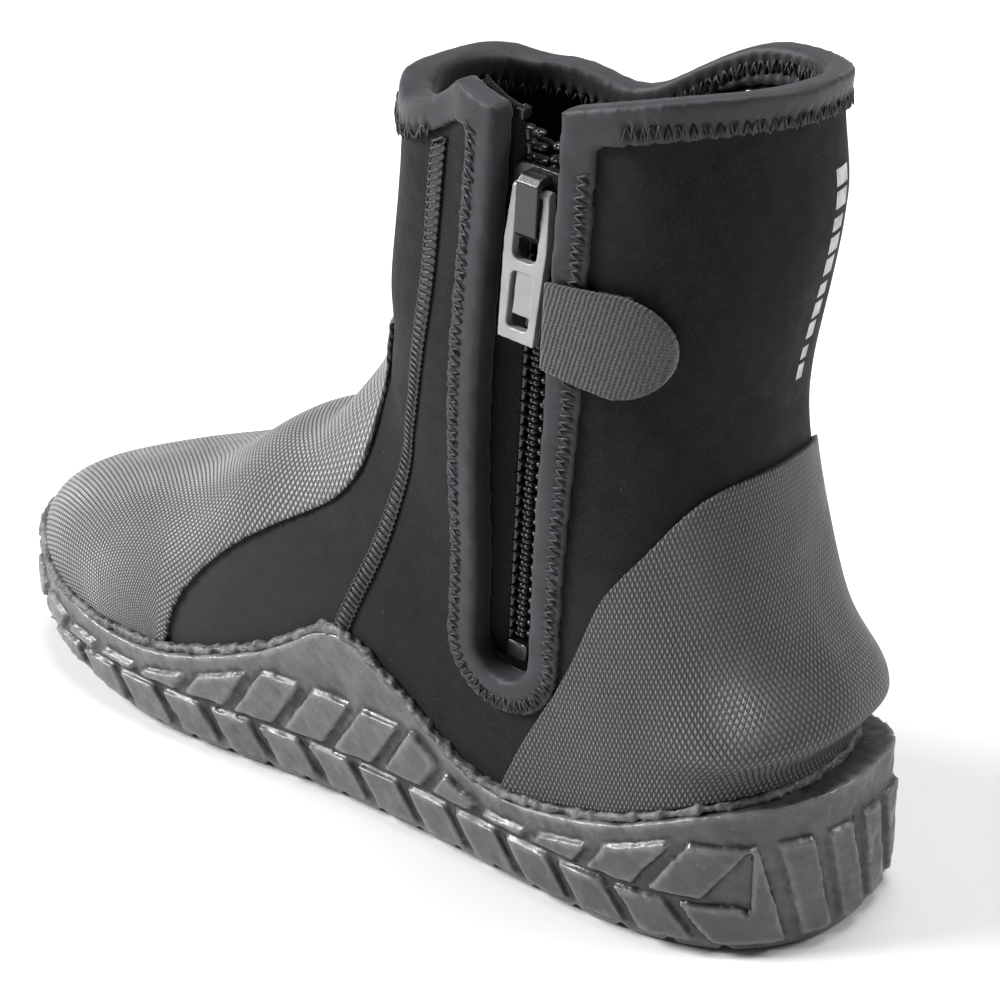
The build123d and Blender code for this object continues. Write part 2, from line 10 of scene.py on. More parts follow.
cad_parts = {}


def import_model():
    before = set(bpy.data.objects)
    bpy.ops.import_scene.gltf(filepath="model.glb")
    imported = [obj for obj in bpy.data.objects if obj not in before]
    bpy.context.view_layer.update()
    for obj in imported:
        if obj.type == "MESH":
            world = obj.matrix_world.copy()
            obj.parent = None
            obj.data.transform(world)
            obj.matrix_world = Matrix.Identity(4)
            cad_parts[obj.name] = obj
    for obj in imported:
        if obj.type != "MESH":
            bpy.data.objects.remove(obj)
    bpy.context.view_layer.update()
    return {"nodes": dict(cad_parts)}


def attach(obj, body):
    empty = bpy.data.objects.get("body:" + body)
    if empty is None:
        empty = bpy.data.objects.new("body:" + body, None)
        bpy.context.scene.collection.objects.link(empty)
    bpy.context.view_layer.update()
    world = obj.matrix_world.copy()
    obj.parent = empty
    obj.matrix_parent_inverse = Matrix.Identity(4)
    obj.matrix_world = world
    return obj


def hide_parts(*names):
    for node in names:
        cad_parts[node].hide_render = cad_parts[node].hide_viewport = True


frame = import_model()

# ---- the part's own measures, mm: s runs forward from the heel, y toward the zip side, z up ----
HEEL_X, SIDE = -147.5, 5.2
SLOT_HALF, ZIP_RUN, BIND_WIDTH = 9.5, 149.5, 9.0
CHAIN_HALF, TAPE_DEPTH, TOOTH_PITCH, SPLIT, SLIDER_AT = 4.3, 8.5, 3.4, 2.1, -26.0
COLLAR_BACK, COLLAR_SLOPE, COLLAR_TILT = 226.0, math.radians(9), math.radians(2)
LEDGE_SWELL = 10.2        # how far the heel ledge stands out of the cap at its fullest
CHAIN_LOW, CHAIN_TOP = -149.0, -9.0                       # the teeth's run along the zip
CORD_RADIUS = 0.8         # of the cord that the teeth stand on
SEW_IN, COLLAR_SEW_IN = 2.6, 2.3                          # stitches to the bindings' edge
COLLAR_PITCH, ZIP_PITCH, SEAM_PITCH = 3.5, 2.9, 1.9       # along the line, for one stitch
THREAD_RADIUS = 0.30      # on the bindings
SEAM_HALF = 2.3           # from a front seam's middle to the thread along its edge
FOREFOOT_S = 215          # where the toe cap begins to turn down round the toes
HEEL_S = 58               # the middle of the heel's round back
FRONT_SEAM = [(109, 240), (109, 188), (110, 162), (115, 138), (125, 108), (133, 84), (143, 62), (156, 30)]


def unit(v):
    return v / np.linalg.norm(v)


ZIP_TOP, ZIP_LOW = np.array([75.0, 43.6, 219.0]), np.array([87.5, 36.4, 70.0])
ZIP_UP = unit(ZIP_TOP - ZIP_LOW)
ZIP_OUT = unit(np.cross(ZIP_UP, (1, 0, 0)))
ZIP_X = np.cross(ZIP_UP, ZIP_OUT)


def world(points):
    """Boot coordinates in mm to the part's frame in metres."""
    return (np.asarray(points, float) + (HEEL_X, SIDE, 0)) / 1000


def local(points):
    return np.asarray(points, float) * 1000 - (HEEL_X, SIDE, 0)


def zip_point(x, y, z):
    """Boot coordinates of a point in the zip frame: toward the heel, up along the zip, outward."""
    return (ZIP_TOP + np.multiply.outer(x, ZIP_X) + np.multiply.outer(y, ZIP_UP)
            + np.multiply.outer(z, ZIP_OUT))


def zip_coords(points):
    d = points - ZIP_TOP
    return d @ ZIP_X, d @ ZIP_UP, d @ ZIP_OUT


def ramp(v, low, high):
    t = np.clip((np.asarray(v, float) - low) / (high - low), 0, 1)
    return t * t * (3 - 2 * t)


def bump(v, middle, width):
    return np.exp(-(((np.asarray(v, float) - middle) / width) ** 2))


def waves(points, seed, size):
    """Smooth field between about -1 and 1 whose swells are size mm long."""
    rng = np.random.RandomState(seed)
    total = np.zeros(len(points))
    for _ in range(7):
        k = unit(rng.normal(size=3)) * 2 * math.pi / (size * rng.uniform(0.7, 1.5))
        total += np.sin(points @ k + rng.uniform(0, 2 * math.pi))
    return total / 3.2


# ---- mesh helpers ----
def add_object(name, mesh):
    piece = bpy.data.objects.new(name, mesh)
    bpy.context.scene.collection.objects.link(piece)
    return piece


def get_points(piece):
    co = np.empty(len(piece.data.vertices) * 3)
    piece.data.vertices.foreach_get("co", co)
    return local(co.reshape(-1, 3))


def set_points(piece, points):
    piece.data.vertices.foreach_set("co", world(points).ravel())
    piece.data.update()


def get_normals(piece):
    n = np.empty(len(piece.data.vertices) * 3, np.float32)
    piece.data.vertex_normals.foreach_get("vector", n)
    return n.reshape(-1, 3).astype(float)


def settle(piece):
    """Puts the modifiers' result into the mesh."""
    shown = piece.evaluated_get(bpy.context.evaluated_depsgraph_get())
    mesh = bpy.data.meshes.new_from_object(shown)
    piece.modifiers.clear()
    piece.data = mesh
    mesh.shade_smooth()
    return piece


def from_nodes(name, nodes, voxel, rounds=6, grow=0.0):
    """One evenly meshed, softly rounded piece that fills the CAD nodes' space and stands for them. mm."""
    bm = bmesh.new()
    for node in nodes:
        bm.from_mesh(frame["nodes"][node].data)
    bmesh.ops.remove_doubles(bm, verts=bm.verts, dist=1e-6)
    mesh = bpy.data.meshes.new(name)
    bm.to_mesh(mesh)
    bm.free()
    piece = add_object(name, mesh)
    remesh = piece.modifiers.new("Remesh", "REMESH")
    remesh.mode, remesh.voxel_size = "VOXEL", voxel / 1000
    smooth = piece.modifiers.new("Smooth", "SMOOTH")
    smooth.factor, smooth.iterations = 0.5, rounds
    settle(piece)
    if grow:
        set_points(piece, get_points(piece) + grow * get_normals(piece))
    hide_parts(*nodes)
    return piece


def from_faces(name, points, faces):
    mesh = bpy.data.meshes.new(name)
    mesh.from_pydata([tuple(p) for p in world(points)], [], faces)
    mesh.update()
    mesh.shade_smooth()
    return add_object(name, mesh)


def surface(*pieces):
    """Ray target from one or more pieces, in boot coordinates."""
    points, faces = [], []
    for piece in pieces:
        start = len(points)
        points += [Vector(p) for p in get_points(piece)]
        faces += [[start + v for v in poly.vertices] for poly in piece.data.polygons]
    return BVHTree.FromPolygons(points, faces)


def cast(target, start, way):
    hit, normal, _, _ = target.ray_cast(Vector(start), Vector(way))
    return (np.array(hit), np.array(normal)) if hit else None


def smooth_line(points, step):
    """Points every step mm along a Catmull-Rom curve through the given ones."""
    p = np.array(points, float)
    p = np.vstack([2 * p[0] - p[1], p, 2 * p[-1] - p[-2]])
    fine = []
    for a, b, c, d in zip(p[:-3], p[1:-2], p[2:-1], p[3:]):
        for t in np.linspace(0, 1, 24, endpoint=False):
            fine.append(0.5 * (2 * b + (c - a) * t + (2 * a - 5 * b + 4 * c - d) * t * t
                               + (3 * b - a - 3 * c + d) * t ** 3))
    fine.append(p[-2])
    return evenly(np.array(fine), step)


def evenly(points, step):
    length = np.concatenate([[0], np.cumsum(np.linalg.norm(np.diff(points, axis=0), axis=1))])
    at = np.linspace(0, length[-1], max(2, int(round(length[-1] / step)) + 1))
    return np.stack([np.interp(at, length, points[:, i]) for i in range(points.shape[1])], 1)


def laid_on(target, starts, ways):
    """Where the rays land: points and normals."""
    hits = [h for h in (cast(target, a, b) for a, b in zip(starts, ways)) if h]
    return np.array([h[0] for h in hits]), np.array([h[1] for h in hits])


def tube(line, normals, radius, points, faces, sides=6):
    """Adds a closed round tube along the line to the lists."""
    line = np.asarray(line)
    along = np.gradient(line, axis=0)
    along /= np.linalg.norm(along, axis=1)[:, None] + 1e-9
    side = np.cross(along, normals)
    side /= np.linalg.norm(side, axis=1)[:, None] + 1e-9
    up = np.cross(side, along)
    first = len(points)
    for i, p in enumerate(line):
        r = radius * (0.6 if i in (0, len(line) - 1) else 1)
        for k in range(sides):
            a = 2 * math.pi * k / sides
            points.append(p + r * (math.cos(a) * side[i] + math.sin(a) * up[i]))
    for i in range(len(line) - 1):
        for k in range(sides):
            a, b = first + i * sides + k, first + i * sides + (k + 1) % sides
            faces.append((a, b, b + sides, a + sides))
    faces.append(tuple(first + k for k in range(sides))[::-1])
    faces.append(tuple(first + (len(line) - 1) * sides + k for k in range(sides)))


def across_line(line, normals):
    """Unit vectors along the surface, square to the line."""
    across = np.cross(np.gradient(line, axis=0), normals)
    return across / (np.linalg.norm(across, axis=1)[:, None] + 1e-9)


def stitches(line, normals, width, pitch, radius, lists, ladder=False, lift=0.25):
    """Sewn thread along a line: zigzag legs from edge to edge, or the rungs of a flat seam.

    lists: the points and faces that the thread is added to. lift: mm above the surface.
    """
    points = evenly(np.hstack([line, normals]), pitch / 2)
    line, normals = points[:, :3], points[:, 3:] / np.linalg.norm(points[:, 3:], axis=1)[:, None]
    across = across_line(line, normals)
    rise = np.array([-0.25, 0.75, 1.0, 0.75, -0.25]) * radius * 1.2 + lift
    t = np.linspace(0, 1, 5)[:, None]
    for i in range(0, len(line) - 1, 2 if ladder else 1):
        way = 1 if ladder or i % 2 else -1
        slant = 0.35 if ladder else 1.0
        a = line[i] - way * across[i] * width / 2
        b = line[i] + (line[i + 1] - line[i]) * slant + way * across[i] * width / 2
        leg = a + (b - a) * t + normals[i] * rise[:, None]
        tube(leg, np.repeat(normals[i][None], 5, 0), radius, *lists)


def pucker(piece, line, pitch, depth, reach, press=0.4):
    """Gathers a piece along a sewn line: pressed in, with a small swell at every stitch."""
    line = evenly(line, 0.4)
    tree = KDTree(len(line))
    for i, p in enumerate(line):
        tree.insert(Vector(p), i)
    tree.balance()
    points, normals = get_points(piece), get_normals(piece)
    for v, p in enumerate(points):
        _, i, far = tree.find(Vector(p))
        if far < reach * 2.2:
            near = math.exp(-((far / reach) ** 2))
            swell = math.cos(2 * math.pi * i * 0.4 / pitch)
            points[v] += normals[v] * near * depth * (swell - press * 2)
    set_points(piece, points)


def mark_hollows(piece, rounds=12):
    """Stores how deep each point lies in a hollow, in mm, negative on edges that stand out."""
    smooth = piece.modifiers.new("Smooth", "SMOOTH")
    smooth.factor, smooth.iterations = 0.5, rounds
    shown = piece.evaluated_get(bpy.context.evaluated_depsgraph_get())
    even = np.empty(len(shown.data.vertices) * 3)
    shown.data.vertices.foreach_get("co", even)
    piece.modifiers.clear()
    deep = ((local(even.reshape(-1, 3)) - get_points(piece)) * get_normals(piece)).sum(1)
    piece.data.attributes.new("hollow", "FLOAT", "POINT").data.foreach_set("value", deep.astype(np.float32))


def put_uv(piece, flat):
    """Gives the piece a UV map whose units are mm on the material."""
    uv = flat(get_points(piece))
    loops = np.empty(len(piece.data.loops), int)
    piece.data.loops.foreach_get("vertex_index", loops)
    layer = piece.data.uv_layers.new(name="Flat")
    layer.data.foreach_set("uv", uv[loops].astype(np.float32).ravel())


# ---- materials ----
class Finish:
    """A material being made: nodes give colour, roughness and height, the rest sits on the shader."""

    def __init__(self, name):
        self.mat = bpy.data.materials.new(name)
        self.mat.use_nodes = True
        self.tree = self.mat.node_tree
        self.shader = self.tree.nodes["Principled BSDF"]
        self.object = self.add("ShaderNodeTexCoord").outputs["Object"]

    def add(self, kind, inputs=None, **props):
        node = self.tree.nodes.new(kind)
        for key, value in props.items():
            setattr(node, key, value)
        for key, value in (inputs or {}).items():
            if isinstance(value, bpy.types.NodeSocket):
                self.tree.links.new(value, node.inputs[key])
            else:
                node.inputs[key].default_value = value
        return node

    def math(self, operation, a, b=0.0):
        return self.add("ShaderNodeMath", {0: a, 1: b}, operation=operation).outputs[0]

    def noise(self, size, detail=2.0, stretch=(1, 1, 1), rough=0.5):
        """Noise whose grains are size mm across, about 0 to 1."""
        place = self.add("ShaderNodeMapping", {"Vector": self.object, "Scale": stretch}).outputs[0]
        return self.add("ShaderNodeTexNoise", {"Vector": place, "Scale": 1000 / size, "Detail": detail,
                                               "Roughness": rough}).outputs["Fac"]

    def cells(self, size):
        inputs = {"Vector": self.object, "Scale": 1000 / size}
        return self.add("ShaderNodeTexVoronoi", inputs).outputs["Distance"]

    def spread(self, value, low, high, to_low=0.0, to_high=1.0):
        return self.add("ShaderNodeMapRange", {"Value": value, "From Min": low, "From Max": high,
                                               "To Min": to_low, "To Max": to_high}).outputs[0]

    def flat(self):
        laid = self.add("ShaderNodeUVMap", uv_map="Flat").outputs[0]
        split = self.add("ShaderNodeSeparateXYZ", {0: laid})
        return split.outputs[0], split.outputs[1]

    def hollow(self, low, high):
        stored = self.add("ShaderNodeAttribute", attribute_name="hollow", attribute_type="GEOMETRY")
        return self.spread(stored.outputs["Fac"], low, high)

    def triangle(self, value):
        return self.math("MULTIPLY", self.math("PINGPONG", value, 0.5), 2.0)

    def diamonds(self, pitch_u, pitch_v, sway=0.0):
        u, v = self.flat()
        a, b = self.math("DIVIDE", u, pitch_u), self.math("DIVIDE", v, pitch_v)
        if sway:
            drift = self.math("MULTIPLY", self.noise(14, 1), sway)
            a, b = self.math("ADD", a, drift), self.math("ADD", b, drift)
        return self.math("MINIMUM", self.triangle(self.math("ADD", a, b)),
                         self.triangle(self.math("SUBTRACT", a, b)))

    def mix(self, factor, a, b):
        node = self.add("ShaderNodeMix", data_type="RGBA")
        for index, value in ((0, factor), (6, a), (7, b)):
            if isinstance(value, bpy.types.NodeSocket):
                self.tree.links.new(value, node.inputs[index])
            else:
                node.inputs[index].default_value = value if index == 0 else (*value, 1)
        return node.outputs[2]

    def done(self, colour, rough, height=None, depth=0.2, **fixed):
        """depth: mm between the lowest and highest of the height."""
        for name, value in (("Base Color", colour), ("Roughness", rough)):
            if isinstance(value, bpy.types.NodeSocket):
                self.tree.links.new(value, self.shader.inputs[name])
            else:
                self.shader.inputs[name].default_value = (*value, 1) if name == "Base Color" else value
        if height is not None:
            relief = self.add("ShaderNodeBump", {"Height": height, "Strength": 1.0,
                                                 "Distance": depth / 1000})
            self.tree.links.new(relief.outputs[0], self.shader.inputs["Normal"])
        for name, value in fixed.items():
            self.shader.inputs[name.replace("_", " ")].default_value = value
        return self.mat


def grey(level, warm=0.0):
    return (level * (1 + warm), level, level * (1 - warm))


def make_neoprene(name="neoprene_jersey", level=0.0085, warm=0.06, depth=0.10):
    m = Finish(name)
    place = m.add("ShaderNodeSeparateXYZ", {0: m.object}).outputs
    # painted light: lighter low on the toe side, where the key lamp and the jersey's sheen brighten the
    # fabric
    painted_light_toe_side = m.math("MULTIPLY", m.spread(place[0], -0.02, 0.05), m.spread(place[2], 0.13, 0.06))
    knit = m.math("ADD", m.noise(0.55, 2), m.math("MULTIPLY", m.noise(3.5, 2), 0.35))
    blotch = m.spread(m.noise(28, 3), 0.35, 0.7)
    lint = m.spread(m.cells(9), 0.035, 0.02)
    base = m.mix(blotch, grey(level * 0.85, warm), grey(level * 1.35, warm))
    base = m.mix(m.spread(m.noise(0.6, 1), 0.45, 0.7), base, grey(level * 1.7, warm))
    # painted light: the low toe side is mixed toward a pale grey
    base = m.mix(m.math("MULTIPLY", painted_light_toe_side, 0.75), base, grey(level * 4.2, warm))
    base = m.mix(m.math("MULTIPLY", lint, 0.35), base, grey(0.16, 0.05))
    return m.done(base, m.spread(m.noise(5), 0.3, 0.7, 0.72, 0.9), knit, depth,
                  Sheen_Weight=0.04, Sheen_Roughness=0.45, Specular_IOR_Level=0.15)


def make_binding():
    m = Finish("binding_lycra")
    fine = m.math("ADD", m.noise(0.4, 1, (1, 1, 0.5)), m.math("MULTIPLY", m.noise(4, 2), 0.5))
    base = m.mix(m.spread(m.noise(7, 2), 0.35, 0.7), (0.016, 0.0165, 0.0195), (0.027, 0.0275, 0.033))
    return m.done(base, 0.6, fine, 0.07, Sheen_Weight=0.16, Sheen_Roughness=0.35, Specular_IOR_Level=0.4)


def make_cap_rubber(name, level, pitch_u, pitch_v, depth, sway):
    m = Finish(name)
    pattern = m.diamonds(pitch_u, pitch_v, sway)
    relief = m.math("ADD", m.math("POWER", pattern, 0.6), m.math("MULTIPLY", m.noise(0.6, 2), 0.12))
    worn = m.spread(m.noise(35, 3), 0.35, 0.7)
    base = m.mix(worn, grey(level * 0.9, -0.01), grey(level * 1.15, -0.01))
    # painted shade: the diamond pattern's grooves are darkened
    base = m.mix(m.spread(pattern, 0.08, 0.85), grey(level * 0.08), base)
    return m.done(base, m.spread(m.noise(12, 2), 0.3, 0.7, 0.36, 0.52), relief, depth,
                  Specular_IOR_Level=0.55)


def make_sole_rubber():
    m = Finish("sole_rubber")
    skin = m.math("ADD", m.math("MULTIPLY", m.noise(1.6, 4, rough=0.6), 0.6), m.noise(9, 3, (1, 1, 1.6)))
    base = m.mix(m.spread(m.noise(11, 4, rough=0.65), 0.3, 0.7), grey(0.062, 0.01), grey(0.12, 0.0))
    # painted shade: darker toward the heel, the side turned away from the key lamp
    painted_shade_heelward = m.spread(m.add("ShaderNodeSeparateXYZ", {0: m.object}).outputs[0], 0.0, -0.12)
    base = m.mix(m.math("MULTIPLY", painted_shade_heelward, 0.6), base, grey(0.022))
    dust = m.spread(m.noise(2.2, 4, rough=0.7), 0.58, 0.72)
    base = m.mix(m.math("MULTIPLY", dust, 0.35), base, grey(0.22, 0.01))
    base = m.mix(m.math("MULTIPLY", m.hollow(-0.03, -0.2), 0.4), base, grey(0.22, 0.01))
    # painted shade: the hollows between the lugs are darkened
    base = m.mix(m.math("MULTIPLY", m.hollow(0.01, 0.14), 0.9), base, grey(0.012))
    rough = m.spread(m.noise(5, 4), 0.35, 0.65, 0.24, 0.5)
    return m.done(base, rough, skin, 0.28, Specular_IOR_Level=0.55)


def make_cement():
    m = Finish("cement_bead")
    smear = m.math("ADD", m.noise(2.2, 5, (1, 1, 2.0), 0.65), m.math("MULTIPLY", m.noise(0.6, 2), 0.25))
    base = m.mix(m.spread(m.noise(3.5, 4), 0.35, 0.65), grey(0.05), grey(0.13, 0.01))
    # painted shade: the bead's hollows are darkened
    base = m.mix(m.math("MULTIPLY", m.hollow(0.02, 0.25), 0.8), base, grey(0.01))
    rough = m.spread(m.noise(4, 3), 0.35, 0.65, 0.24, 0.5)
    return m.done(base, rough, smear, 0.6, Specular_IOR_Level=0.6)


def make_plain(name, low, high, rough, grain=0.5, depth=0.05, patch=6.0, **fixed):
    m = Finish(name)
    base = m.mix(m.spread(m.noise(patch, 3), 0.3, 0.7), low, high)
    relief = m.math("ADD", m.noise(grain, 2), m.math("MULTIPLY", m.noise(grain * 5, 2), 0.4))
    return m.done(base, m.spread(m.noise(patch * 0.6, 2), 0.3, 0.7, rough * 0.85, min(1, rough * 1.15)),
                  relief, depth, **fixed)


def make_felt():
    """Brushed loop felt: slanting ribs, with short fluff over them."""
    m = Finish("tab_loop_felt")
    u, v = m.flat()
    drift = m.math("MULTIPLY", m.noise(3, 2), 0.5)
    rib = m.math("ADD", m.math("DIVIDE", m.math("ADD", u, m.math("MULTIPLY", v, -0.22)), 1.15), drift)
    loop = m.math("ADD", m.math("DIVIDE", v, 0.9), m.math("MULTIPLY", m.noise(1.5, 2), 1.2))
    height = m.math("ADD", m.math("MULTIPLY", m.triangle(rib), 0.8),
                    m.math("MULTIPLY", m.triangle(loop), 0.3))
    height = m.math("ADD", height, m.math("MULTIPLY", m.noise(0.35, 2), 0.5))
    # painted shade: the valleys between the ribs are darker than the rib tops
    base = m.mix(m.triangle(rib), grey(0.032), grey(0.068, 0.01))
    base = m.mix(m.spread(m.noise(0.5, 2), 0.4, 0.7), base, grey(0.09, 0.01))
    return m.done(base, 0.95, height, 0.3, Sheen_Weight=0.3, Sheen_Roughness=0.5, Specular_IOR_Level=0.15)


def make_tape(name, level, fluff):
    m = Finish(name)
    u, v = m.flat()
    weave = m.math("MULTIPLY", m.triangle(m.math("DIVIDE", u, 0.9)),
                   m.triangle(m.math("DIVIDE", v, 0.7)))
    height = m.math("ADD", m.math("MULTIPLY", weave, 0.6),
                    m.math("MULTIPLY", m.noise(0.8, 3, rough=0.7), fluff))
    base = m.mix(m.spread(m.noise(1.2, 3, rough=0.7), 0.35, 0.68), grey(level * 0.6), grey(level * 1.5))
    return m.done(base, 0.8, height, 0.25, Sheen_Weight=0.04, Specular_IOR_Level=0.2)


NEOPRENE = make_neoprene()
GUSSET = make_neoprene("gusset_jersey", 0.012, 0.0, 0.12)
BINDING = make_binding()
TOE_RUBBER = make_cap_rubber("toe_cap_rubber", 0.30, 2.05, 1.75, 0.42, 0.25)
HEEL_RUBBER = make_cap_rubber("heel_cap_rubber", 0.15, 2.9, 1.45, 0.55, 0.2)
SOLE_RUBBER = make_sole_rubber()
CEMENT = make_cement()
THREAD = make_plain("stitching_thread", grey(0.012), grey(0.035), 0.45, 0.3, 0.05, 2.0,
                    Specular_IOR_Level=0.5)
THREAD_BLUE = make_plain("binding_thread", (0.010, 0.0105, 0.013), (0.022, 0.023, 0.028),
                         0.5, 0.3, 0.05, 2.0)
FELT = make_felt()
HOOKS = make_plain("hook_pile", grey(0.006), grey(0.03), 0.5, 0.45, 0.3, 1.0)
TAPE = make_tape("zip_tape_weave", 0.007, 0.35)
LOOP_TAPE = make_tape("zip_tape_fluffy", 0.008, 1.1)
TEETH = make_plain("zip_teeth_acetal", grey(0.010), grey(0.018), 0.22, 0.8, 0.02, 3.0,
                   Specular_IOR_Level=0.6)
SLIDER = make_plain("slider_enamel", grey(0.010), grey(0.018), 0.24, 1.2, 0.015, 5.0,
                    Specular_IOR_Level=0.6)
PULLER = make_plain("puller_metal", grey(0.27, -0.01), grey(0.33, -0.01),
                    0.42, 0.5, 0.012, 7.0, Metallic=0.35)
FOOTBED = make_plain("footbed_cloth", grey(0.03), grey(0.05), 0.9, 0.7, 0.15, 9.0, Sheen_Weight=0.3)
BOARD = make_plain("insole_board", (0.19, 0.15, 0.10), (0.24, 0.19, 0.13), 0.85, 0.6, 0.08, 10.0)
LABEL = make_plain("woven_label", grey(0.72), grey(0.82), 0.75, 0.35, 0.06, 5.0, Sheen_Weight=0.2)
PRINT = make_plain("print_white", grey(0.35), grey(0.6), 0.7, 0.7, 0.06, 3.0)

soft_pieces = []          # what the drape moves at the end


def dress(piece, material, body="boot", soft=True):
    piece.data.materials.clear()
    piece.data.materials.append(material)
    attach(piece, body)
    if soft:
        soft_pieces.append(piece)
    return piece


# ---- neoprene: all the panels as one stocking, its cut edges hidden by the bindings ----
PANELS = ["front_panel", "toe_panel", "medial_quarter", "lateral_quarter", "sock_bottom"]
shell = from_nodes("neoprene_shell", PANELS, 1.5, 5)
dress(shell, NEOPRENE)

# ---- rubber caps, with the fin-strap ledge swelled out of the heel's ----
toe = from_nodes("toe_cap_rubber", ["toe_cap"], 0.8, 3)
heel = from_nodes("heel_cap_rubber", ["heel_cap"], 0.7, 3)
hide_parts("heel_ledge")
points, normals = get_points(heel), get_normals(heel)
s, y, z = points.T
swing = np.arctan2(y + 1, HEEL_S - s)                       # 0 at the back of the heel
middle = 63 - 3 * np.abs(swing)
swell = np.where(z > middle, bump(z, middle, 15), bump(z, middle, 8.5))
swell = swell * (1 - ramp(np.abs(swing), 0.55, 1.25))
hollow = bump(z, 52 - 4 * np.abs(swing), 5) * (1 - ramp(np.abs(swing), 0.6, 1.2))
outward = np.stack([-np.cos(swing), np.sin(swing), 0 * swing], 1)
facing = ramp((normals * outward).sum(1), -0.2, 0.5)
set_points(heel, points + outward * (facing * (LEDGE_SWELL * swell - 0.5 * hollow))[:, None])


def toe_flat(p):
    """The toe cap laid flat: u over the toe from the shin forward, v round it."""
    s, y, z = p.T
    ahead = s - FOREFOOT_S
    rise = np.arctan2(ahead, z - 10)
    u = np.where(ahead > 0, FOREFOOT_S + 62 * rise, s - 0.35 * (z - 60) * ramp(-ahead, 0, 40))
    reach = np.where(ahead > 0, np.hypot(ahead, z - 10), z - 10)
    v = 62 * np.arctan2(y + 3, 0.9 * np.maximum(reach, 5))
    return np.stack([u, v], 1)


def heel_flat(p):
    s, y, z = p.T
    return np.stack([z + 0.25 * s, 46 * np.arctan2(y + 2, HEEL_S - s)], 1)


put_uv(toe, toe_flat)
put_uv(heel, heel_flat)
dress(toe, TOE_RUBBER)
dress(heel, HEEL_RUBBER)

# ---- sole ----
sole = from_nodes("outsole_rubber", ["outsole"], 0.78, 2)
points = get_points(sole)
low = ramp(points[:, 2], 1.0, 5.0)
uneven = 0.22 * waves(points, 3, 14) + 0.10 * waves(points, 4, 4)
set_points(sole, points + get_normals(sole) * (uneven * low)[:, None])
mark_hollows(sole)
dress(sole, SOLE_RUBBER, soft=False)
bead = from_nodes("cement_bead", ["rim_bead"], 0.6, 2, grow=0.2)
points = get_points(bead)
rough_edge = 0.45 * waves(points, 11, 6) + 0.3 * waves(points, 12, 2.4)
set_points(bead, points + get_normals(bead) * rough_edge[:, None])
mark_hollows(bead, 6)
dress(bead, CEMENT, soft=False)

# ---- inside the boot ----
footbed = from_nodes("footbed_pad", ["footbed"], 1.4, 6)
points = get_points(footbed)
crown = ramp(get_normals(footbed)[:, 2], 0.2, 0.9)
points[:, 2] += crown * (0.8 * waves(points, 5, 60) - 0.4)
set_points(footbed, points)
dress(footbed, FOOTBED, soft=False)
board = frame["nodes"]["insole_board"]
board.data.materials.clear()
board.data.materials.append(BOARD)
gusset = from_nodes("zip_gusset_sheet", ["zip_gusset"], 0.9, 5)
points = get_points(gusset)
gx, gy, _ = zip_coords(points)
fold = 0.9 * np.sin(gx / 3.4 + 0.5 * np.sin(gy / 21)) * bump(gx, 0, 22) - 0.6
set_points(gusset, points + np.outer(fold, ZIP_OUT))
dress(gusset, GUSSET)

# ---- bindings ----
roll = from_nodes("binding_roll", ["collar_binding", "zip_binding"], 0.8, 12, grow=0.5)
dress(roll, BINDING)


def collar_height(s, y, drop):
    return COLLAR_BACK - drop - (s - 15) * math.tan(COLLAR_SLOPE) + y * math.tan(COLLAR_TILT)


def collar_ring(target, drop, inward, first=-142, last=142):
    """Line round the collar, from one side of the zip to the other, laid on the outside or the inside."""
    starts, ways = [], []
    for a in np.radians(np.linspace(first, last, 400)):
        out = np.array([math.sin(a), -math.cos(a), 0.0])
        s, y = 82 + 45 * out[0] * 1.35, 1 + 38 * out[1]
        height = collar_height(s, y, drop)
        starts.append((82, 1, height) if inward else (82 + 200 * out[0], 1 + 200 * out[1], height))
        ways.append(out if inward else -out)
    return laid_on(target, starts, ways)


def zip_line(target, off, top=-12.0):
    """Line round the zip opening, off mm from its middle, down the front, round the end and up the rear."""
    down = [(-off, y) for y in np.linspace(top, -ZIP_RUN, 90)]
    turn = [(-off * math.cos(a), -ZIP_RUN - off * math.sin(a)) for a in np.linspace(0, math.pi, 40)[1:-1]]
    up = [(off, y) for y in np.linspace(-ZIP_RUN, top, 90)]
    starts = [zip_point(x, y, 25.0) for x, y in down + turn + up]
    return laid_on(target, starts, [-ZIP_OUT] * len(starts))


def side_line(target, curve, medial, low, high):
    line = smooth_line(curve, 1.0)
    line = line[(line[:, 1] > low) & (line[:, 1] < high)]
    y = 120 if medial else -120
    return laid_on(target, [(s, y, z) for s, z in line], [(0, -1 if medial else 1, 0)] * len(line))


skin = surface(shell, roll)
outer_ring, outer_normals = collar_ring(skin, BIND_WIDTH - COLLAR_SEW_IN, False)
inner_ring, inner_normals = collar_ring(skin, BIND_WIDTH - SEW_IN, True)
zip_edge, zip_normals = zip_line(skin, SLOT_HALF + BIND_WIDTH - SEW_IN)
pucker(roll, outer_ring, COLLAR_PITCH, 0.70, 2.3)
pucker(roll, inner_ring, COLLAR_PITCH, 0.70, 2.3)
pucker(roll, zip_edge, ZIP_PITCH, 0.60, 2.1)
gathered = surface(shell, roll)
binding_thread = ([], [])
outer_ring, outer_normals = collar_ring(gathered, BIND_WIDTH - COLLAR_SEW_IN, False)
inner_ring, inner_normals = collar_ring(gathered, BIND_WIDTH - SEW_IN, True)
zip_edge, zip_normals = zip_line(gathered, SLOT_HALF + BIND_WIDTH - SEW_IN)
stitches(outer_ring, outer_normals, 3.8, COLLAR_PITCH, THREAD_RADIUS, binding_thread)
stitches(inner_ring, inner_normals, 3.8, COLLAR_PITCH, THREAD_RADIUS, binding_thread)
stitches(zip_edge, zip_normals, 3.6, ZIP_PITCH, THREAD_RADIUS, binding_thread)
dress(from_faces("binding_zigzag", *binding_thread), THREAD_BLUE)

